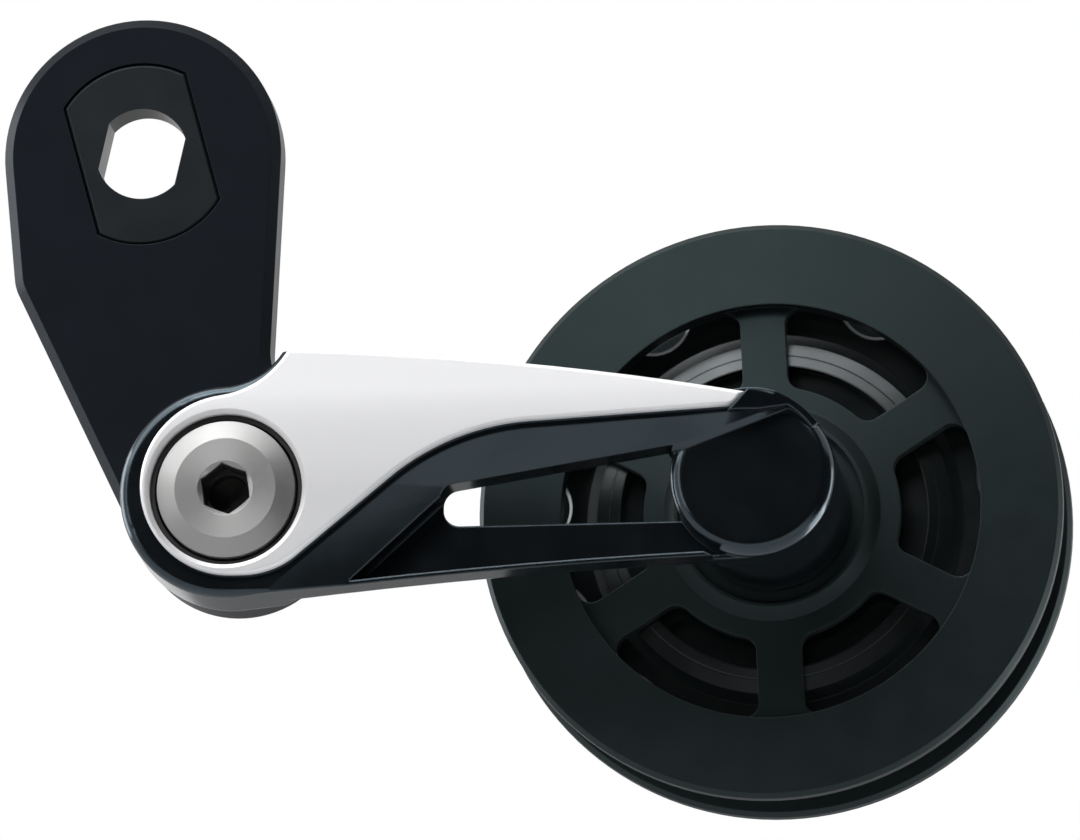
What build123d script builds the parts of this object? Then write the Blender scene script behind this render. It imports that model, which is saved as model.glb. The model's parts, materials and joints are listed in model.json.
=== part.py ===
from build123d import *
import os
from math import acos, asin, atan2, cos, degrees, hypot, radians, sin, sqrt, tan

# Single-pulley sprung chain tensioner, in millimetres.
# The pieces are worked out lying flat, with x forward, y up and z outboard, and stood up at the end.
# The origin is the axle centre at the hanger's inboard face, and heights are outboard of that face.

# Fits
seat_gap = 0.02
running_gap = 0.05
passing_gap = 0.3

# Hanger plate
plate_thickness = 6.0
plate_bevel = 1.0
head_radius = 15.1
eye_radius = 11.35
pivot_x = 10.4
pivot_y = -39.4
left_lean = 5.0
left_corner_y = -14.4
left_corner_radius = 5.0
right_lean = 3.0
right_corner_y = -24.0
right_corner_radius = 7.0

# Axle insert and its flatted hole
insert_diameter = 20.0
insert_width = 13.7
insert_angle = 105.0
insert_depth = 4.8
insert_bevel = 0.3
insert_seat_gap = 0.1
axle_diameter = 10.0
axle_flats = 8.55
axle_angle = 77.0
axle_relief = 1.0

# Pivot stud, bolt, thrust washer and stop pin
shaft_radius = 5.0
shaft_head_radius = 7.0
shaft_head_height = 1.5
washer_thickness = 0.6
washer_width = 1.5
bolt_head_radius = 7.5
bolt_head_height = 2.4
bolt_face_radius = 5.5
bolt_bevel_height = 0.7
bolt_thread_radius = 4.0
bolt_thread_length = 5.0
bolt_tap_spare = 1.5
hex_across_flats = 5.0
hex_depth = 3.8
hex_mouth_radius = 3.0
hex_angle = 38.0
hex_drill_radius = 2.2
hex_drill_depth = 6.0
pin_radius = 0.8
pin_circle = 10.1
pin_angle = 120.0
pin_seat = 4.0
pin_reach = 1.8
swing = 60.0

# Arm
arm_length = 56.7
arm_rise = 1.0
arm_depth = 7.65
arm_edge_radius = 1.0
housing_radius = 11.7
tip_x = 5.95
tip_y = 15.25
tip_angle = 57.0
neck_blend = 8.0
top_rise = 0.83
top_end_angle = 105.0
bottom_rise = 0.6
rail_back_step = 2.3
rail_back_margin = 0.8
boss_radius = 9.0
boss_edge_radius = 1.5
boss_step = 0.7
step_width = 0.6
groove_width = 0.7
facet_drop = 1.4
facet_end_x = 0.95
facet_end_y = 6.5
ridge_width = 0.8
ridge_start_angle = 60.0
ridge_end_angle = 36.0
ridge_inset = 0.4
ridge_gap = 0.1
rail_corner_x = 24.6
rail_corner_y = 0.45
rail_angle = 8.9
rail_bend_back = 7.7
pocket_angle = 42.3
pocket_depth = 3.4
rim_width = 0.5
slot_end_x = 23.0
slot_floor_y = -3.55
slot_end_radius = 1.8
hub_bush_wall = 1.0
hub_wall = 0.7
bush_length = 3.0
hub_roof = 1.0
bolt_seat_depth = 1.1

# Arm cover
cover_thickness = 1.2
cover_bevel = 0.3
cover_hole_bevel = 0.5
cover_ring_width = 1.6
cover_ring_x = 0.6
cover_ring_y = 0.5
cover_diagonal_x = 12.8
cover_diagonal_y = -3.05
cover_diagonal_angle = 39.5
cover_edge_y = 5.8
cover_edge_end_y = 7.05
cover_blend = 26.0
cover_foot_blend = 9.0
cover_neck_blend = 10.0
cover_tip_inset = 0.75
cover_end_x = 0.4
cover_end_angle = 47.0
cover_end_radius = 1.2
seal_width = 0.5

# Torsion spring
wire_diameter = 1.1
spring_turns = 3.5
spring_clearance = 0.35
spring_leg_gap = 0.15
spring_angle = 60.0
spring_bend = 1.0
spring_rear_leg = 2.5
spring_front_leg = 1.4
wire_facets = 8

# Pulley post, bolt and bearing
post_inset = 0.2
post_gap = 1.4
spigot_radius = 5.2
thread_radius = 3.0
thread_length = 9.0
thread_spare = 1.0
pulley_head_radius = 5.0
pulley_head_height = 3.2
pulley_hex_across = 5.0
pulley_hex_depth = 2.4
pulley_washer_radius = 6.2
pulley_washer_thickness = 0.9
dust_cap_radius = 8.2
dust_cap_thickness = 0.7
bearing_bore_radius = 4.0
bearing_radius = 9.5
bearing_width = 6.0
race_wall = 1.55
ball_radius = 1.5
ball_count = 7
cage_wall = 0.8
cage_width = 3.8
shield_thickness = 0.35
shield_inset = 0.3

# Pulley
pulley_height = -13.5
tooth_count = 13
chain_pitch = 12.7
roller_radius = 3.9
tip_circle_radius = 29.0
tooth_width = 2.2
tooth_tip_width = 1.0
tooth_bevel_start = 25.0
tooth_flank_angle = 27.0
seat_bevel = 0.4
hub_radius = 11.4
web_thickness = 2.4
drum_inner_radius = 16.8
drum_outer_radius = 18.0
drum_width = 5.2
cone_radius = 20.6
guide_radius = 31.8
guide_thickness = 2.2
guide_bevel = 0.5
guide_inner_radius = 22.9
spoke_count = 6
spoke_width = 4.9
spoke_thickness = 1.6
spoke_overlap = 0.8
window_inner_radius = 14.0
window_corner = 1.7
guide_lip = 0.9
collar_radius = 11.9
collar_height = 1.0
collar_bevel = 1.3
pulley_phase = 92.7

# Heights that follow from the sizes above
pitch_radius = chain_pitch / (2 * sin(radians(180 / tooth_count)))
washer_top = plate_thickness + washer_thickness
arm_back = washer_top + running_gap
arm_front = arm_back + arm_depth
rail_front = arm_front - facet_drop
boss_front = rail_front - boss_step
pocket_floor = rail_front - pocket_depth
bolt_seat = arm_front - bolt_seat_depth
shaft_top = bolt_seat + running_gap * 2
bush_bore = shaft_radius + hub_bush_wall
hub_outer = bush_bore + hub_wall
spring_radius = hub_outer + spring_clearance + wire_diameter / 2
spring_pocket_radius = spring_radius + wire_diameter / 2 + spring_clearance
spring_pocket_top = bolt_seat - hub_roof
spring_rise = spring_pocket_top - plate_thickness - wire_diameter - 2 * spring_clearance
spring_base = plate_thickness + spring_clearance + wire_diameter / 2
cover_hole_radius = bolt_head_radius + passing_gap + seal_width
cover_ring_radius = cover_hole_radius + cover_ring_width
cover_top = arm_front + cover_thickness
bearing_front = pulley_height + bearing_width / 2
bearing_back = pulley_height - bearing_width / 2
guide_hub_thickness = spoke_thickness + passing_gap
guide_face = bearing_front + guide_hub_thickness
guide_front = guide_face - spoke_overlap + guide_thickness
post_end = guide_face + dust_cap_thickness + passing_gap
post_radius = boss_radius - post_inset
race_radius = (bearing_bore_radius + bearing_radius) / 2

# Places on the arm, measured from the pivot
boss = (arm_length, arm_rise)
rail_bend_x = arm_length - rail_bend_back


# Shared shapes
def tube(outer, inner, bottom, top):
    return Pos(0, 0, bottom) * extrude(Circle(outer) - Circle(inner), top - bottom)


def rod(radius, bottom, top):
    return Pos(0, 0, bottom) * extrude(Circle(radius), top - bottom)


def turned(*points):
    return revolve(make_face(Plane.XZ * Polyline(*points, close=True)), axis=Axis.Z)


def prism(sketch, bottom, top):
    return Pos(0, 0, bottom) * extrude(sketch, top - bottom)


def polar(radius, angle, x=0.0, y=0.0):
    return x + radius * cos(radians(angle)), y + radius * sin(radians(angle))


def tangent_from(point, centre, radius, side):
    away_x, away_y = point[0] - centre[0], point[1] - centre[1]
    angle = degrees(atan2(away_y, away_x)) + side * degrees(acos(radius / hypot(away_x, away_y)))
    return polar(radius, angle, *centre)


def near(shape, point):
    return shape.vertices().sort_by_distance(Vector(*point, 0))[0]


def flatted(diameter, across, angle):
    return Circle(diameter / 2) & Rot(0, 0, angle - 90) * Rectangle(across, 2 * diameter)


def hexagon(across_flats, angle=0.0):
    return Rot(0, 0, angle) * RegularPolygon(across_flats / 2, 6, major_radius=False)


def at_pivot(part):
    return Pos(pivot_x, pivot_y) * part


def at_boss(part):
    return Pos(*boss) * part


def at_pulley(part):
    return at_pivot(at_boss(part))


# Hanger: head and eye joined by a shank with one kinked side
def hanger_outline():
    pivot = (pivot_x, pivot_y)
    left_top = polar(head_radius, 180 + left_lean)
    left_drop = left_top[1] - left_corner_y
    left_corner = (left_top[0] + left_drop * tan(radians(left_lean)), left_corner_y)
    right_top = polar(head_radius, -right_lean)
    right_drop = right_top[1] - right_corner_y
    right_corner = (right_top[0] - right_drop * tan(radians(right_lean)), right_corner_y)
    eye_left = tangent_from(left_corner, pivot, eye_radius, 1)
    eye_right = tangent_from(right_corner, pivot, eye_radius, -1)
    outline = make_face([
        ThreePointArc(right_top, (0, head_radius), left_top),
        Line(left_top, left_corner),
        Line(left_corner, eye_left),
        ThreePointArc(eye_left, (pivot_x, pivot_y - eye_radius), eye_right),
        Line(eye_right, right_corner),
        Line(right_corner, right_top),
    ])
    outline = fillet(near(outline, left_corner), left_corner_radius)
    return fillet(near(outline, right_corner), right_corner_radius)


def insert_outline(margin):
    return flatted(insert_diameter + 2 * margin, insert_width + 2 * margin, insert_angle)


def hanger_plate():
    plate = extrude(hanger_outline(), plate_thickness)
    rims = plate.faces().filter_by(Axis.Z).edges()
    plate = chamfer(rims, plate_bevel)
    insert_floor = plate_thickness - insert_depth
    plate -= prism(insert_outline(insert_seat_gap), insert_floor, plate_thickness + 1)
    plate -= rod(axle_diameter / 2 + axle_relief, -1, plate_thickness)
    plate -= at_pivot(rod(shaft_radius + seat_gap, -1, plate_thickness + 1))
    plate -= at_pivot(rod(shaft_head_radius + seat_gap, -1, shaft_head_height))
    pin_hole = rod(pin_radius + seat_gap, plate_thickness - pin_seat, plate_thickness + 1)
    plate -= at_pivot(Pos(*polar(pin_circle, pin_angle)) * pin_hole)
    return plate - at_pivot(spring_leg_hole())


def spring_leg_hole():
    leg_end = spring_base - spring_bend - spring_rear_leg
    hole = rod(wire_diameter / 2 + spring_leg_gap, leg_end - spring_leg_gap, plate_thickness + 1)
    return Rot(0, 0, spring_angle) * Pos(spring_radius, -spring_bend) * hole


def axle_insert():
    insert = prism(insert_outline(0), plate_thickness - insert_depth, plate_thickness)
    insert = chamfer(insert.faces().sort_by(Axis.Z)[-1].edges(), insert_bevel)
    return insert - prism(flatted(axle_diameter, axle_flats, axle_angle), 0, plate_thickness + 1)


# Pivot pieces on the hanger
def pivot_shaft():
    shaft = rod(shaft_head_radius, 0, shaft_head_height) + rod(shaft_radius, 0, shaft_top)
    tap_depth = bolt_thread_length + bolt_tap_spare
    return at_pivot(shaft - rod(bolt_thread_radius + seat_gap, shaft_top - tap_depth, shaft_top + 1))


def pivot_bolt():
    head_top = shaft_top + bolt_head_height
    bolt = turned(
        (0, shaft_top - bolt_thread_length),
        (bolt_thread_radius, shaft_top - bolt_thread_length),
        (bolt_thread_radius, shaft_top),
        (bolt_head_radius, shaft_top),
        (bolt_head_radius, head_top - bolt_bevel_height),
        (bolt_face_radius, head_top),
        (0, head_top),
    )
    bolt -= prism(hexagon(hex_across_flats, hex_angle), head_top - hex_depth, head_top + 1)
    bolt -= turned((0, head_top), (hex_mouth_radius, head_top), (0, head_top - hex_mouth_radius))
    return at_pivot(bolt - rod(hex_drill_radius, head_top - hex_drill_depth, head_top))


def thrust_washer():
    inner = shaft_radius + running_gap
    return at_pivot(tube(inner + washer_width, inner, plate_thickness, washer_top))


def stop_pin():
    pin = rod(pin_radius, plate_thickness - pin_seat, arm_back + pin_reach)
    return at_pivot(Pos(*polar(pin_circle, pin_angle)) * pin)


# Arm outline and the lines that cross its face, all measured from the pivot
def tip_directions():
    along = Vector(*polar(1, tip_angle))
    return along, Vector(-along.Y, along.X)


def neck_curve(radius, blend, inset, x=0.0, y=0.0):
    along, across = tip_directions()
    ring = Vector(x, y)
    start = Vector(tip_x, tip_y) - ring + across * (blend - inset)
    middle = start.dot(along)
    centre = start - along * (middle - sqrt(middle ** 2 - start.dot(start) + (radius + blend) ** 2))
    on_circle = centre.normalized() * radius
    on_line = centre - across * blend
    on_arc = centre + ((on_circle - centre) + (on_line - centre)).normalized() * blend
    return on_circle + ring, on_arc + ring, on_line + ring


def arched(start, end, rise):
    middle = ((start[0] + end[0]) / 2, (start[1] + end[1]) / 2 + rise)
    return ThreePointArc(start, middle, end)


def top_edge():
    return arched((tip_x, tip_y), polar(boss_radius, top_end_angle, *boss), top_rise)


def bottom_edge(lift):
    span = hypot(*boss)
    chord_lean = asin((housing_radius - boss_radius) / span) + atan2(arm_rise, arm_length)
    sag_lean = 2 * atan2(2 * bottom_rise, span)
    start = polar(housing_radius - lift, degrees(chord_lean + sag_lean) - 90)
    end = polar(boss_radius - lift, degrees(chord_lean - sag_lean) - 90, *boss)
    return arched(start, end, bottom_rise)


def arm_outline():
    on_circle, on_arc, on_line = neck_curve(housing_radius, neck_blend, 0)
    top, bottom = top_edge(), bottom_edge(0)
    return make_face([
        ThreePointArc(bottom @ 0, (-housing_radius, 0), on_circle),
        ThreePointArc(on_circle, on_arc, on_line),
        Line(on_line, (tip_x, tip_y)),
        top,
        ThreePointArc(top @ 1, (boss[0] + boss_radius, boss[1]), bottom @ 1),
        bottom,
    ])


def crossing(point_a, angle_a, point_b, angle_b):
    slope_a, slope_b = tan(radians(angle_a)), tan(radians(angle_b))
    x = (point_b[1] - point_a[1] + slope_a * point_a[0] - slope_b * point_b[0]) / (slope_a - slope_b)
    return x, point_a[1] + slope_a * (x - point_a[0])


# Lower boundary of the cover, moved down and forward by a margin
def cover_lines(margin):
    edge_rise = arm_rise + cover_edge_end_y - cover_edge_y
    edge_angle = degrees(atan2(edge_rise, arm_length - cover_diagonal_x))
    diagonal = polar(margin, cover_diagonal_angle - 90, cover_diagonal_x, cover_diagonal_y)
    edge = polar(margin, edge_angle - 90, cover_diagonal_x, cover_edge_y)
    corner = crossing(diagonal, cover_diagonal_angle, edge, edge_angle)
    return diagonal, corner, edge_angle


def on_top_edge(x):
    top = top_edge()
    return x, top.arc_center.Y + sqrt(top.radius ** 2 - (x - top.arc_center.X) ** 2)


def cover_end():
    return on_top_edge(boss[0] - cover_end_x)


def arm_cover():
    diagonal, corner, edge_angle = cover_lines(0)
    ring = (cover_ring_x, cover_ring_y)
    ring_left, ring_bottom = polar(cover_ring_radius, 180, *ring), polar(cover_ring_radius, -90, *ring)
    foot = crossing(diagonal, cover_diagonal_angle, ring_bottom, 0)
    on_circle, on_arc, on_line = neck_curve(cover_ring_radius, cover_neck_blend, cover_tip_inset, *ring)
    tip = on_top_edge(tip_x + cover_tip_inset / sin(radians(tip_angle)))
    end_high = cover_end()
    end_low = crossing(corner, edge_angle, end_high, cover_end_angle)
    outline = make_face([
        ThreePointArc(ring_bottom, ring_left, on_circle),
        ThreePointArc(on_circle, on_arc, on_line),
        Line(on_line, tip),
        ThreePointArc(tip, top_edge() @ 0.5, end_high),
        Line(end_high, end_low),
        Line(end_low, corner),
        Line(corner, foot),
        Line(foot, ring_bottom),
    ])
    outline = fillet(near(outline, corner), cover_blend)
    outline = fillet(near(outline, foot), cover_foot_blend)
    outline = fillet(near(outline, end_low), cover_end_radius)
    cover = prism(outline, arm_front, cover_top)
    cover = chamfer(cover.faces().sort_by(Axis.Z)[-1].edges(), cover_bevel)
    cover -= rod(cover_hole_radius, 0, cover_top + 1)
    return at_pivot(cover - turned(
        (0, cover_top),
        (cover_hole_radius + cover_hole_bevel, cover_top),
        (cover_hole_radius, cover_top - cover_hole_bevel),
        (0, cover_top - cover_hole_bevel),
    ))


# Regions of the arm's face below its two rail lines, which leave a ridge round the boss
def below_line(start, corner, bend, margin, blend):
    facet_end = polar(margin, rail_angle - 90, boss[0] + facet_end_x, boss[1] + facet_end_y)
    angles = (ridge_start_angle, (ridge_start_angle + ridge_end_angle) / 2, ridge_end_angle)
    ridge_line = [polar(boss_radius - ridge_width, angle, *boss) for angle in angles]
    outside = polar(2 * boss_radius, ridge_end_angle, *boss)
    region = make_face([
        Polyline(start, corner, bend, facet_end, ridge_line[0]),
        ThreePointArc(*ridge_line),
        Polyline(ridge_line[-1], outside, (outside[0], start[1]), start),
    ])
    return fillet(near(region, corner), blend)


def upper_region():
    diagonal, corner, edge_angle = cover_lines(groove_width)
    start = crossing(diagonal, cover_diagonal_angle, (0, -2 * housing_radius), 0)
    bend = (rail_bend_x, corner[1] + (rail_bend_x - corner[0]) * tan(radians(edge_angle)))
    return below_line(start, corner, bend, 0, cover_blend)


def rail_height(x, margin):
    drop = margin / cos(radians(rail_angle))
    return rail_corner_y + (x - rail_corner_x) * tan(radians(rail_angle)) - drop


def lower_region(margin):
    diagonal = polar(margin, pocket_angle - 90, rail_corner_x, rail_corner_y)
    bend = (rail_bend_x, rail_height(rail_bend_x, margin))
    corner = crossing(diagonal, pocket_angle, bend, rail_angle)
    start = crossing(diagonal, pocket_angle, (0, -2 * housing_radius), 0)
    return below_line(start, corner, bend, margin, slot_end_radius)


def facet_cut():
    return loft([Pos(0, 0, arm_front) * upper_region(), Pos(0, 0, rail_front) * lower_region(0)], ruled=True)


def boss_step_cut():
    step = loft([Pos(0, 0, rail_front) * lower_region(0), Pos(0, 0, boss_front) * lower_region(step_width)],
                ruled=True)
    return step & at_boss(rod(boss_radius + passing_gap, 0, arm_front))


def pocket_region():
    rim = bottom_edge(rim_width)
    start, end = rim @ 0, rim @ 1
    inside = make_face([
        rim,
        Line(end, (end.X, 2 * boss_radius)),
        Line((end.X, 2 * boss_radius), (start.X, 2 * boss_radius)),
        Line((start.X, 2 * boss_radius), start),
    ])
    return (inside & lower_region(0)) - at_boss(Circle(boss_radius))


def slot_region():
    left, right = slot_end_x, boss[0]
    corners = [(left, slot_floor_y), (left, rail_height(left, 0))]
    slot = make_face(Polyline(*corners, (right, rail_height(right, 0)), (right, slot_floor_y), close=True))
    for corner in corners:
        slot = fillet(near(slot, corner), slot_end_radius)
    return slot - at_boss(Circle(boss_radius))


# Arm: housing, two rails, boss and pulley post in one casting
def corner_profile(radius, spare):
    bulge = radius * (1 - sqrt(0.5))
    return [
        Polyline((-radius, 0), (-radius, spare), (spare, spare), (spare, -radius), (0, -radius)),
        ThreePointArc((0, -radius), (-bulge, -bulge), (-radius, 0)),
    ]


def housing_edge_cut():
    on_circle, on_arc, on_line = neck_curve(housing_radius, neck_blend, 0)
    along, across = tip_directions()
    start = Vector(tip_x, tip_y) + along * arm_edge_radius
    path = Wire([
        Line(start, on_line),
        ThreePointArc(on_line, on_arc, on_circle),
        ThreePointArc(on_circle, (-housing_radius, 0), (0, -housing_radius)),
        Line((0, -housing_radius), (housing_radius, -housing_radius)),
    ])
    section = Plane(start, x_dir=across, z_dir=along)
    outside = make_face([section * line for line in corner_profile(arm_edge_radius, 1)])
    return Pos(0, 0, arm_front) * sweep(outside, path=path)


def rail_back_cut():
    region = Pos(boss[0] / 2, 0) * Rectangle(boss[0], 3 * housing_radius)
    region -= Circle(housing_radius + rail_back_margin)
    region -= at_boss(Circle(boss_radius + rail_back_margin))
    return prism(region, 0, arm_back + rail_back_step)


def boss_edge_cut():
    section = Plane.XZ * Pos(boss_radius, boss_front)
    profile = make_face([section * line for line in corner_profile(boss_edge_radius, 1)])
    return at_boss(revolve(profile, axis=Axis.Z)) & prism(lower_region(step_width), 0, arm_front)


def ridge():
    size = 2 * boss_radius
    end = cover_end()
    region = at_boss(Circle(boss_radius - ridge_inset)) - upper_region()
    behind = Rot(0, 0, cover_end_angle) * Pos(0, size / 2) * Rectangle(2 * size, size)
    return prism(region - Pos(end[0] + ridge_gap, end[1]) * behind, arm_front, cover_top)


def ridge_slope_cut():
    size = 4 * boss_radius
    high, low = cover_end(), polar(boss_radius, ridge_end_angle, *boss)
    run_x, run_y = low[0] - high[0], low[1] - high[1]
    lean = degrees(atan2(cover_top - boss_front, hypot(run_x, run_y)))
    above = Rot(0, lean, 0) * Pos(size / 2, 0, size / 2) * Box(size, size, size)
    above = Pos(*high, cover_top) * Rot(0, 0, degrees(atan2(run_y, run_x))) * above
    return above & prism(at_boss(Circle(boss_radius + 1)) - upper_region(), boss_front, cover_top + 1)


def stop_slot():
    half_width = pin_radius + passing_gap
    slot = trace(CenterArc((0, 0), pin_circle, pin_angle, swing), 2 * half_width)
    for angle in (pin_angle, pin_angle + swing):
        slot += Pos(*polar(pin_circle, angle)) * Circle(half_width)
    return prism(slot, 0, arm_back + pin_reach + passing_gap)


def spring_leg_notch():
    length = spring_bend + spring_front_leg + spring_clearance
    width = wire_diameter + 2 * spring_clearance
    notch = Pos(spring_radius + length / 2, spring_bend) * Rectangle(length, width)
    return prism(Rot(0, 0, spring_angle + 360 * spring_turns) * notch, 0, spring_pocket_top)


def tension_arm():
    arm = prism(arm_outline(), arm_back, arm_front)
    arm -= housing_edge_cut()
    arm -= facet_cut()
    arm -= boss_step_cut()
    arm -= rail_back_cut()
    arm += ridge()
    arm -= ridge_slope_cut()
    arm += at_boss(rod(post_radius, post_end, arm_back))
    arm += at_boss(rod(spigot_radius, bearing_front, post_end))
    arm -= prism(pocket_region(), pocket_floor, arm_front)
    arm -= prism(slot_region(), 0, arm_front)
    arm -= boss_edge_cut()
    arm -= rod(cover_hole_radius, bolt_seat, arm_front + 1)
    arm -= rod(bush_bore + seat_gap, 0, arm_front)
    arm -= tube(spring_pocket_radius, hub_outer, 0, spring_pocket_top)
    arm -= spring_leg_notch()
    arm -= stop_slot()
    thread_end = bearing_front + thread_length + thread_spare
    arm -= at_boss(rod(thread_radius + seat_gap, bearing_front - 1, thread_end))
    return at_pivot(arm)


# Small pieces on the arm's pivot
def front_seal_ring():
    return at_pivot(tube(cover_hole_radius - seat_gap, bolt_head_radius + passing_gap, bolt_seat, arm_front))


def pivot_bush(bottom):
    return at_pivot(tube(bush_bore, shaft_radius + running_gap, bottom, bottom + bush_length))


def pivot_bush_front():
    return pivot_bush(bolt_seat - bush_length)


def pivot_bush_rear():
    return pivot_bush(arm_back)


def bent_leg(start, heading, towards, length):
    side = (towards - heading * towards.dot(heading)).normalized()
    half_turn = heading * sqrt(0.5) + side * (1 - sqrt(0.5))
    end = start + (heading + side) * spring_bend
    return [ThreePointArc(start, start + half_turn * spring_bend, end), Line(end, end + side * length)]


def torsion_spring():
    coil = Helix(spring_rise / spring_turns, spring_rise, spring_radius)
    end = coil @ 1
    rear_leg = bent_leg(coil @ 0, -(coil % 0), Vector(0, 0, -1), spring_rear_leg)
    front_leg = bent_leg(end, coil % 1, Vector(end.X, end.Y, 0), spring_front_leg)
    path = Wire([*reversed(rear_leg), coil, *front_leg])
    section = Plane(path @ 0, z_dir=path % 0) * RegularPolygon(wire_diameter / 2, wire_facets)
    return at_pivot(Pos(0, 0, spring_base) * Rot(0, 0, spring_angle) * sweep(section, path=path))


# Pulley axle pieces on the arm
def pulley_bolt():
    head_bottom = bearing_back - pulley_washer_thickness
    head_end = head_bottom - pulley_head_height
    bolt = rod(pulley_head_radius, head_end, head_bottom)
    bolt += rod(bearing_bore_radius - seat_gap, head_bottom, bearing_front)
    bolt += rod(thread_radius, bearing_front, bearing_front + thread_length)
    return at_pulley(bolt - prism(hexagon(pulley_hex_across), head_end - 1, head_end + pulley_hex_depth))


def pulley_washer():
    bottom = bearing_back - pulley_washer_thickness
    return at_pulley(tube(pulley_washer_radius, bearing_bore_radius, bottom, bearing_back))


def front_dust_cap():
    bottom = post_end - dust_cap_thickness
    return at_pulley(tube(dust_cap_radius, spigot_radius + seat_gap, bottom, post_end))


# Ball bearing in the pulley hub
def ball_track(clearance):
    return Torus(race_radius, ball_radius + clearance)


def bearing_inner_ring():
    ring = tube(bearing_bore_radius + race_wall, bearing_bore_radius, -bearing_width / 2, bearing_width / 2)
    return at_pulley(Pos(0, 0, pulley_height) * (ring - ball_track(running_gap)))


def bearing_outer_ring():
    ring = tube(bearing_radius, bearing_radius - race_wall, -bearing_width / 2, bearing_width / 2)
    seat = bearing_width / 2 - shield_inset - shield_thickness
    step = shield_radius() + seat_gap
    ring -= rod(step, seat, bearing_width)
    ring -= rod(step, -bearing_width, -seat)
    return at_pulley(Pos(0, 0, pulley_height) * (ring - ball_track(running_gap)))


def shield_radius():
    return bearing_radius - race_wall / 2


def bearing_shield(bottom):
    inner = bearing_bore_radius + race_wall + passing_gap
    shield = tube(shield_radius(), inner, bottom, bottom + shield_thickness)
    return at_pulley(Pos(0, 0, pulley_height) * shield)


def front_bearing_shield():
    return bearing_shield(bearing_width / 2 - shield_inset - shield_thickness)


def rear_bearing_shield():
    return bearing_shield(shield_inset - bearing_width / 2)


def bearing_balls():
    balls = PolarLocations(race_radius, ball_count) * Sphere(ball_radius)
    return at_pulley(Pos(0, 0, pulley_height) * Compound(balls))


def bearing_cage():
    ring = tube(race_radius + cage_wall / 2, race_radius - cage_wall / 2, -cage_width / 2, cage_width / 2)
    pocket = Rot(0, 90, 0) * Cylinder(ball_radius + running_gap, 2 * ball_radius)
    pockets = PolarLocations(race_radius, ball_count) * pocket
    return at_pulley(Pos(0, 0, pulley_height) * (ring - pockets))


# Pulley: toothed wheel between two spoked guide plates
def tooth_gap():
    reach = tip_circle_radius - pitch_radius + 1
    flare = roller_radius + reach * tan(radians(tooth_flank_angle))
    mouth = Polyline(
        (pitch_radius, roller_radius),
        (pitch_radius + reach, flare),
        (pitch_radius + reach, -flare),
        (pitch_radius, -roller_radius),
        close=True,
    )
    return Pos(pitch_radius) * Circle(roller_radius) + make_face(mouth)


def seat_bevels():
    half = tooth_width / 2
    side = turned(
        (0, half - seat_bevel),
        (roller_radius, half - seat_bevel),
        (roller_radius + 2 * seat_bevel, half + seat_bevel),
        (0, half + seat_bevel),
    )
    return Pos(pitch_radius) * (side + mirror(side, Plane.XY))


def toothed_wheel():
    side = [
        (bearing_radius + seat_gap, bearing_width / 2),
        (hub_radius, bearing_width / 2),
        (hub_radius, web_thickness / 2),
        (drum_inner_radius, web_thickness / 2),
        (drum_inner_radius, drum_width / 2),
        (drum_outer_radius, drum_width / 2),
        (cone_radius, tooth_width / 2),
        (tooth_bevel_start, tooth_width / 2),
        (tip_circle_radius, tooth_tip_width / 2),
    ]
    other_side = [(radius, -height) for radius, height in reversed(side)]
    wheel = turned(*side, *other_side)
    gap = prism(tooth_gap(), -tooth_width, tooth_width)
    gap += seat_bevels()
    wheel -= [Rot(0, 0, pulley_phase + tooth * 360 / tooth_count) * gap for tooth in range(tooth_count)]
    return at_pulley(Pos(0, 0, pulley_height) * wheel)


def windows():
    ring = Circle(guide_inner_radius) - Circle(window_inner_radius)
    bars = [Rot(0, 0, spoke * 360 / spoke_count) * Rectangle(2 * guide_radius, spoke_width)
            for spoke in range(spoke_count // 2)]
    openings = ring - bars
    return fillet(openings.vertices(), window_corner)


def guide_plate():
    lip_radius = bearing_radius - guide_lip
    post_hole = post_radius + post_gap
    step_radius = guide_inner_radius + window_corner
    ring_front = guide_front - guide_face
    ring_back = ring_front - guide_thickness
    plate = turned(
        (lip_radius, -guide_hub_thickness),
        (hub_radius, -guide_hub_thickness),
        (hub_radius, -spoke_thickness),
        (step_radius, -spoke_thickness),
        (step_radius, ring_back),
        (guide_radius - guide_bevel, ring_back),
        (guide_radius, ring_back + guide_bevel),
        (guide_radius, ring_front - guide_bevel),
        (guide_radius - guide_bevel, ring_front),
        (guide_inner_radius, ring_front),
        (guide_inner_radius, 0),
        (collar_radius, 0),
        (collar_radius - collar_bevel, collar_height),
        (post_hole, collar_height),
        (post_hole, 0),
        (lip_radius, 0),
    )
    return plate - prism(windows(), -guide_thickness, guide_thickness)


def front_guide_plate():
    return at_pulley(Pos(0, 0, guide_face) * Rot(0, 0, pulley_phase) * guide_plate())


def rear_guide_plate():
    turned_plate = Rot(180, 0, 0) * guide_plate()
    rear_face = 2 * pulley_height - guide_face
    return at_pulley(Pos(0, 0, rear_face) * Rot(0, 0, pulley_phase) * turned_plate)


PIECES = [
    hanger_plate,
    axle_insert,
    pivot_shaft,
    pivot_bolt,
    thrust_washer,
    stop_pin,
    tension_arm,
    arm_cover,
    front_seal_ring,
    pivot_bush_front,
    pivot_bush_rear,
    torsion_spring,
    pulley_bolt,
    pulley_washer,
    front_dust_cap,
    bearing_inner_ring,
    bearing_outer_ring,
    bearing_balls,
    bearing_cage,
    front_bearing_shield,
    rear_bearing_shield,
    toothed_wheel,
    front_guide_plate,
    rear_guide_plate,
]

os.makedirs("parts", exist_ok=True)
for piece in PIECES:
    standing = piece().rotate(Axis.X, 90)
    export_step(standing, f"parts/{piece.__name__}.step")
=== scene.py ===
import json
import math

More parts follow.
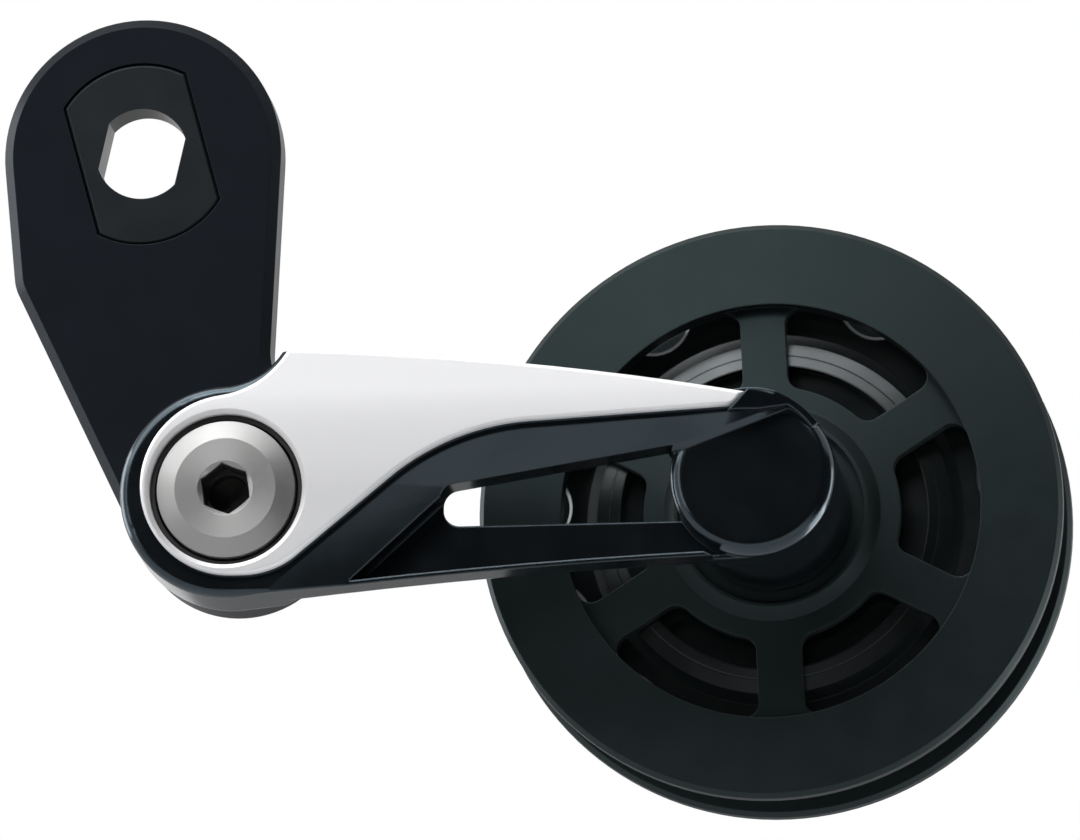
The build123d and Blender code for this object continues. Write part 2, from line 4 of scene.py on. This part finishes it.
import bpy
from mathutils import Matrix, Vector


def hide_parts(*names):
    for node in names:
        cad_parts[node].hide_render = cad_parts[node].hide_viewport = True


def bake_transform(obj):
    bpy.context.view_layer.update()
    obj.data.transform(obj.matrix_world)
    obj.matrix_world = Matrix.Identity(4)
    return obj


# Bicycle chain tensioner, in metres, with +Z up and the outboard side facing -Y.
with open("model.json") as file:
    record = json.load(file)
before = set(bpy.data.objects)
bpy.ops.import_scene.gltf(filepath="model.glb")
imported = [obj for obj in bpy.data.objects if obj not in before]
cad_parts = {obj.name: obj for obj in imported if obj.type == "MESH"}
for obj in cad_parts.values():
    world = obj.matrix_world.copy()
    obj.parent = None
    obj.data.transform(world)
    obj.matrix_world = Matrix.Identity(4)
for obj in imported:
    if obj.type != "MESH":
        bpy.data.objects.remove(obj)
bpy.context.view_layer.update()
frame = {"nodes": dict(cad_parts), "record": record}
mm = 0.001

# Camera, at the photograph's angle: from the outboard side and a little below
view_azimuth = 6.6
view_elevation = -12.3
view_distance = 3.0
view_width = 117.4 * mm
view_centre = Vector((41.55, 10.73, -26.98)) * mm
view_reach = 100
sensor_width = 36.0

# Floor, well below the part
floor_height = -0.95
floor_radius = 1.2
floor_corners = 96
floor_colour = (0.88, 0.88, 0.89, 1)

# Flags out of view, each with its place from the view's centre, its width and height, and its grey
front_flag = (0, -3.82, 1.41), (8.0, 5.76), 0.02
right_flag = (2.2, -1.2, 0.1), (2.4, 2.4), 0.03
under_flag = (0, 1.6, -0.42), (3.2, 0.6), 0.3
stage_roughness = 0.9

# Softboxes, each with its place from the view's centre, its width and height, and its watts
softboxes = {
    "key_box": ((-0.7, -0.9, 1.15), (1.5, 1.5), 25.5),
    "side_box": ((-0.85, -1.2, 0.3), (0.35, 0.8), 2.2),
    "left_box": ((-1.3, 0.1, 0.25), (0.9, 1.0), 16),
    "right_box": ((1.3, 0.25, -0.1), (0.3, 0.9), 5),
    "top_box": ((-0.15, -0.45, 1.4), (1.2, 0.5), 5.5),
    "front_box": ((-0.05, -1.18, 0.93), (1.0, 0.35), 7),
    "low_box": ((1.1, 0.3, -0.9), (1.4, 1.2), 26),
}

# White surroundings: the fill that they give, and how bright they are where they are seen or mirrored
white = (1, 1, 1, 1)
fill_strength = 0.22
backdrop_strength = 1.0

# Edges of the finishes: their rounding, and the cosines at which wear starts and is full
edge_radius = 0.12 * mm
edge_samples = 6
wear_start = 0.995
wear_end = 0.85

# Noise in the finishes: size of its patches, its detail, and the part of its range that is used
patch_size = 4 * mm
noise_detail = 2.0
noise_low = 0.3
noise_high = 0.7

# Colours that finishes share
worn_paint = (0.03, 0.03, 0.03)
worn_plastic = (0.06, 0.06, 0.06)
charcoal = (0.003, 0.0046, 0.0048)

# Painted shade in the hex socket of the pivot bolt: deep inside, its walls and floor are coloured dark for
# the shade that falls there
socket_radius = 2.95 * mm
socket_face = -15.2 * mm
socket_fade = 0.6 * mm
socket_edge = 0.05 * mm
socket_shade_colour = (0.012, 0.012, 0.01, 1)

# Crown of the cover, which is level above its crest and bends away below it
cover_crest = -29 * mm
cover_crown = 23 * mm
cover_bend = 11 * mm

# Fall of the pulley's rings towards the rim, and rounded shoulder of the wheel's drum
ring_slope = 0.11
drum_inner = 16.8 * mm
drum_edge = 18.0 * mm
drum_outer = 19.4 * mm
drum_face_fall = 0.266 * mm
drum_cone_lift = 0.5 * mm

# Turning marks of the bolt, and the stretched gloss that they give
turning_pitch = 0.22 * mm
turning_depth = 0.004 * mm
turning_stretch = 0.6
turning_rotation = 0.25


# Helpers
def node(tree, kind, inputs=None, **settings):
    made = tree.nodes.new(kind)
    for name, value in settings.items():
        setattr(made, name, value)
    for name, value in (inputs or {}).items():
        if isinstance(value, bpy.types.NodeSocket):
            tree.links.new(value, made.inputs[name])
        else:
            made.inputs[name].default_value = value
    return made


def placed(name, data):
    made = bpy.data.objects.new(name, data)
    bpy.context.scene.collection.objects.link(made)
    return made


def aim(piece, target):
    piece.rotation_euler = (target - piece.location).to_track_quat("-Z", "Y").to_euler()


def joint_axis(name):
    joints = {joint["name"]: joint for joint in frame["record"]["behaviour"]["joints"]}
    x, _, z = joints[name]["pos_m"]
    return x, 0, z


def shade(colour, factor):
    return tuple(min(1.0, channel * factor) for channel in colour) + (1,)


# Building blocks of the finishes
def maths(tree, operation, *values):
    return node(tree, "ShaderNodeMath", dict(enumerate(values)), operation=operation).outputs["Value"]


def place_in(tree):
    return node(tree, "ShaderNodeTexCoord").outputs["Object"]


def place_along(tree, axis):
    return node(tree, "ShaderNodeSeparateXYZ", {"Vector": place_in(tree)}).outputs[axis]


def from_axis(tree, axis):
    flat = node(tree, "ShaderNodeVectorMath", {0: place_in(tree), 1: (1, 0, 1)}, operation="MULTIPLY")
    return node(tree, "ShaderNodeVectorMath", {0: flat.outputs["Vector"], 1: axis},
                operation="DISTANCE").outputs["Value"]


def noise(tree, size):
    return node(tree, "ShaderNodeTexNoise", {
        "Vector": place_in(tree), "Scale": 1 / size, "Detail": noise_detail,
    }).outputs["Fac"]


def remap(tree, value, low, high, start=noise_low, end=noise_high):
    return node(tree, "ShaderNodeMapRange", {
        "Value": value, "From Min": start, "From Max": end, "To Min": low, "To Max": high,
    }).outputs["Result"]


def mixed(tree, factor, first, second):
    return node(tree, "ShaderNodeMixRGB", {
        "Fac": factor, "Color1": first, "Color2": second,
    }).outputs["Color"]


def rounded_normal(tree, radius):
    return node(tree, "ShaderNodeBevel", {"Radius": radius}, samples=edge_samples).outputs["Normal"]


def edge_mask(tree, rounded):
    flat = node(tree, "ShaderNodeNewGeometry").outputs["Normal"]
    facing = node(tree, "ShaderNodeVectorMath", {0: rounded, 1: flat}, operation="DOT_PRODUCT")
    return remap(tree, facing.outputs["Value"], 0, 1, wear_start, wear_end)


def raised(tree, height, distance, normal):
    return node(tree, "ShaderNodeBump", {
        "Height": height, "Distance": distance, "Strength": 1.0, "Normal": normal,
    }).outputs["Normal"]


# A finish has mottled colour and roughness, rounded edges that may be worn, a fine grain, a slight form,
# and may have a hollow coloured dark as painted shade
def finish(name, colour, roughness, grain, depth, metallic=0.0, mottle=0.05, wear=0.0, worn=None,
           radius=edge_radius, patch=patch_size, gloss=0.5, tint=(1, 1, 1), extra=None, painted_shade=None,
           form=None):
    material = bpy.data.materials.new(name)
    material.use_nodes = True
    tree = material.node_tree
    tree.nodes.clear()
    rounded = rounded_normal(tree, radius)
    patches = noise(tree, patch)
    base = mixed(tree, patches, shade(colour, 1 - mottle), shade(colour, 1 + mottle))
    if wear:
        worn_share = maths(tree, "MULTIPLY", edge_mask(tree, rounded), wear)
        base = mixed(tree, worn_share, base, worn + (1,))
    # Painted shade: inside the masked hollow the colour turns dark and the metal dull, for the shade that
    # falls there
    if painted_shade:
        shadow = painted_shade(tree)
        base = mixed(tree, shadow, base, socket_shade_colour)
        metallic = remap(tree, shadow, metallic, 0, 0, 1)
    normal = rounded
    if form:
        normal = raised(tree, form(tree), 1.0, normal)
    normal = raised(tree, noise(tree, grain), depth, normal)
    inputs = {
        "Base Color": base,
        "Metallic": metallic,
        "Roughness": remap(tree, patches, roughness[0], roughness[1]),
        "Specular IOR Level": gloss,
        "Specular Tint": tint + (1,),
        "Normal": normal,
    }
    inputs.update(extra(tree) if extra else {})
    shader = node(tree, "ShaderNodeBsdfPrincipled", inputs)
    node(tree, "ShaderNodeOutputMaterial", {"Surface": shader.outputs["BSDF"]})
    return material


# Slight forms and marks of single finishes, and the painted shade of the bolt's hex socket
def turned(tree):
    round_axis = node(tree, "ShaderNodeTangent", direction_type="RADIAL", axis="Y")
    return {
        "Anisotropic": turning_stretch,
        "Anisotropic Rotation": turning_rotation,
        "Tangent": round_axis.outputs["Tangent"],
    }


def turning_marks(tree):
    turns = maths(tree, "MULTIPLY", from_axis(tree, joint_axis("arm_swing")), 1 / turning_pitch)
    rings = node(tree, "ShaderNodeTexNoise", {"W": turns, "Scale": 1.0, "Detail": noise_detail},
                 noise_dimensions="1D")
    return maths(tree, "MULTIPLY", rings.outputs["Fac"], turning_depth)


# Painted shade mask: inside the socket's radius and deeper than its mouth, rising to full over the fade
def hex_socket_shade(tree):
    from_bolt = from_axis(tree, joint_axis("arm_swing"))
    inside = remap(tree, from_bolt, 0, 1, socket_radius, socket_radius - socket_edge)
    deep = remap(tree, place_along(tree, "Y"), 0, 1, socket_face, socket_face + socket_fade)
    return maths(tree, "MULTIPLY", inside, deep)


def crowned_cover(tree):
    below = maths(tree, "SUBTRACT", cover_crest, place_along(tree, "Z"))
    bent = node(tree, "ShaderNodeClamp", {
        "Value": below, "Min": 0.0, "Max": cover_bend,
    }).outputs["Result"]
    middle = maths(tree, "MULTIPLY_ADD", bent, -0.5, below)
    return maths(tree, "MULTIPLY", maths(tree, "MULTIPLY", bent, middle), -1 / cover_crown)


def crowned_drum(tree):
    radius = from_axis(tree, joint_axis("pulley_spin"))
    face = remap(tree, radius, 0, -drum_face_fall, drum_inner, drum_edge)
    cone = remap(tree, radius, 0, drum_cone_lift, drum_edge, drum_outer)
    return maths(tree, "ADD", face, cone)


def sloped_ring(tree):
    return maths(tree, "MULTIPLY", from_axis(tree, joint_axis("pulley_spin")), -ring_slope)


# Finishes
def black_plate():
    return finish("black_plate", colour=(0.0035, 0.0045, 0.0062), roughness=(0.36, 0.39),
                  grain=0.12 * mm, depth=0.004 * mm, wear=0.4, worn=worn_paint,
                  gloss=0.13, tint=(0.66, 0.8, 1.0))


def black_insert():
    return finish("black_insert", colour=(0.005, 0.006, 0.007), roughness=(0.3, 0.34),
                  grain=0.1 * mm, depth=0.002 * mm, wear=0.4, worn=worn_paint,
                  gloss=0.28, tint=(0.8, 0.9, 1.0))


def gloss_black_arm():
    return finish("gloss_black_arm", colour=(0.003, 0.004, 0.005), roughness=(0.13, 0.18),
                  grain=0.7 * mm, depth=0.002 * mm, wear=0.2, worn=worn_paint, radius=0.3 * mm,
                  gloss=0.65, tint=(0.68, 0.87, 1.0))


def silver_cover():
    return finish("silver_cover", colour=(0.82, 0.822, 0.835), roughness=(0.34, 0.4),
                  grain=0.09 * mm, depth=0.001 * mm, metallic=0.12, mottle=0.03, patch=0.1 * mm,
                  radius=0.2 * mm, form=crowned_cover)


# The bolt's hex socket is coloured dark inside as painted shade
def bright_bolt():
    return finish("bright_bolt", colour=(0.285, 0.285, 0.283), roughness=(0.38, 0.44),
                  grain=0.1 * mm, depth=0.0005 * mm, metallic=0.8, mottle=0.04, patch=0.3 * mm,
                  extra=turned, painted_shade=hex_socket_shade, form=turning_marks)


def steel():
    return finish("steel", colour=(0.55, 0.55, 0.56), roughness=(0.31, 0.35),
                  grain=0.1 * mm, depth=0.002 * mm, metallic=1.0)


def bearing_steel():
    return finish("bearing_steel", colour=(0.6, 0.6, 0.61), roughness=(0.15, 0.25),
                  grain=0.08 * mm, depth=0.001 * mm, metallic=1.0)


def spring_steel():
    return finish("spring_steel", colour=(0.3, 0.3, 0.31), roughness=(0.3, 0.45),
                  grain=0.15 * mm, depth=0.002 * mm, metallic=1.0)


def bronze():
    return finish("bronze", colour=(0.45, 0.32, 0.18), roughness=(0.4, 0.55),
                  grain=0.2 * mm, depth=0.005 * mm, metallic=1.0)


def seal_rubber():
    return finish("seal_rubber", colour=(0.012, 0.012, 0.012), roughness=(0.6, 0.75),
                  grain=0.2 * mm, depth=0.005 * mm)


def bearing_plastic():
    return finish("bearing_plastic", colour=(0.03, 0.03, 0.03), roughness=(0.4, 0.55),
                  grain=0.2 * mm, depth=0.004 * mm)


def pulley_plastic():
    return finish("pulley_plastic", colour=charcoal, roughness=(0.44, 0.5),
                  grain=0.14 * mm, depth=0.008 * mm, wear=0.35, worn=worn_plastic, radius=0.2 * mm,
                  gloss=0.26, tint=(0.7, 0.97, 1.0), form=sloped_ring)


def wheel_plastic():
    return finish("wheel_plastic", colour=charcoal, roughness=(0.2, 0.26),
                  grain=0.2 * mm, depth=0.003 * mm, wear=0.35, worn=worn_plastic, radius=0.3 * mm,
                  gloss=0.4, tint=(0.9, 0.97, 1.0), form=crowned_drum)


FINISHES = [
    black_plate, black_insert, gloss_black_arm, silver_cover, bright_bolt, steel, bearing_steel,
    spring_steel, bronze, seal_rubber, bearing_plastic, pulley_plastic, wheel_plastic,
]


def paint_nodes():
    made = {paint.__name__: paint() for paint in FINISHES}
    for part in frame["record"]["subparts"]:
        piece = frame["nodes"][part["node"]]
        piece.data.materials.clear()
        piece.data.materials.append(made[part["material_slot"]])


# The torsion spring, whose front leg goes with the arm and rear leg stays in the plate, is shown by a
# fixed copy of its mesh, and the original is hidden
def wind_spring():
    spring = placed("wound_spring", frame["nodes"]["torsion_spring"].data.copy())
    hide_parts("torsion_spring")
    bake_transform(spring)


# Stage: a pale floor well below, and flags out of view that the glossy black reflects
def plain_material(name, colour):
    material = bpy.data.materials.new(name)
    material.use_nodes = True
    shader = material.node_tree.nodes["Principled BSDF"]
    shader.inputs["Base Color"].default_value = colour
    shader.inputs["Roughness"].default_value = stage_roughness
    return material


def flag(name, place, size, grey):
    bpy.ops.mesh.primitive_plane_add(size=1, location=view_centre + Vector(place))
    card = bpy.context.object
    card.name = name
    card.scale = (*size, 1)
    card.visible_camera = False
    aim(card, view_centre)
    card.data.materials.append(plain_material(name, (grey, grey, grey, 1)))
    return card


def build_stage():
    bpy.ops.mesh.primitive_circle_add(vertices=floor_corners, radius=floor_radius, fill_type="NGON",
                                      location=(view_centre.x, view_centre.y, floor_height))
    floor = bpy.context.object
    floor.name = "floor"
    floor.data.materials.append(plain_material("pale_floor", floor_colour))
    front = flag("front_flag", *front_flag)
    right = flag("right_flag", *right_flag)
    under = flag("under_flag", *under_flag)


# Light: white surroundings, a soft key from the upper left, and boxes at both sides, top, front and below
def build_world():
    world = bpy.data.worlds.new("studio")
    bpy.context.scene.world = world
    world.use_nodes = True
    tree = world.node_tree
    tree.nodes.clear()
    path = node(tree, "ShaderNodeLightPath").outputs
    seen = maths(tree, "MAXIMUM", path["Is Camera Ray"], path["Is Glossy Ray"])
    seen = maths(tree, "MAXIMUM", seen, path["Is Transmission Ray"])
    fill = node(tree, "ShaderNodeBackground", {"Color": white, "Strength": fill_strength})
    backdrop = node(tree, "ShaderNodeBackground", {"Color": white, "Strength": backdrop_strength})
    mix = node(tree, "ShaderNodeMixShader", {
        "Fac": seen, 1: fill.outputs["Background"], 2: backdrop.outputs["Background"],
    })
    node(tree, "ShaderNodeOutputWorld", {"Surface": mix.outputs["Shader"]})


def softbox(name, place, size, power):
    lamp = bpy.data.lights.new(name, "AREA")
    lamp.shape = "RECTANGLE"
    lamp.size, lamp.size_y = size
    lamp.energy = power
    box = placed(name, lamp)
    box.location = view_centre + Vector(place)
    box.visible_camera = False
    aim(box, view_centre)


def build_lights():
    for name, (place, size, power) in softboxes.items():
        softbox(name, place, size, power)


def build_camera():
    azimuth, elevation = math.radians(view_azimuth), math.radians(view_elevation)
    back = Vector((
        math.sin(azimuth) * math.cos(elevation),
        -math.cos(azimuth) * math.cos(elevation),
        math.sin(elevation),
    ))
    lens = bpy.data.cameras.new("camera")
    lens.sensor_fit = "HORIZONTAL"
    lens.sensor_width = sensor_width
    lens.lens = sensor_width * view_distance / view_width
    lens.clip_end = view_reach
    camera = placed("camera", lens)
    camera.location = view_centre + back * view_distance
    aim(camera, view_centre)
    bpy.context.scene.camera = camera


paint_nodes()
wind_spring()
build_stage()
build_world()
build_lights()
build_camera()
bpy.context.scene.view_settings.view_transform = "Standard"
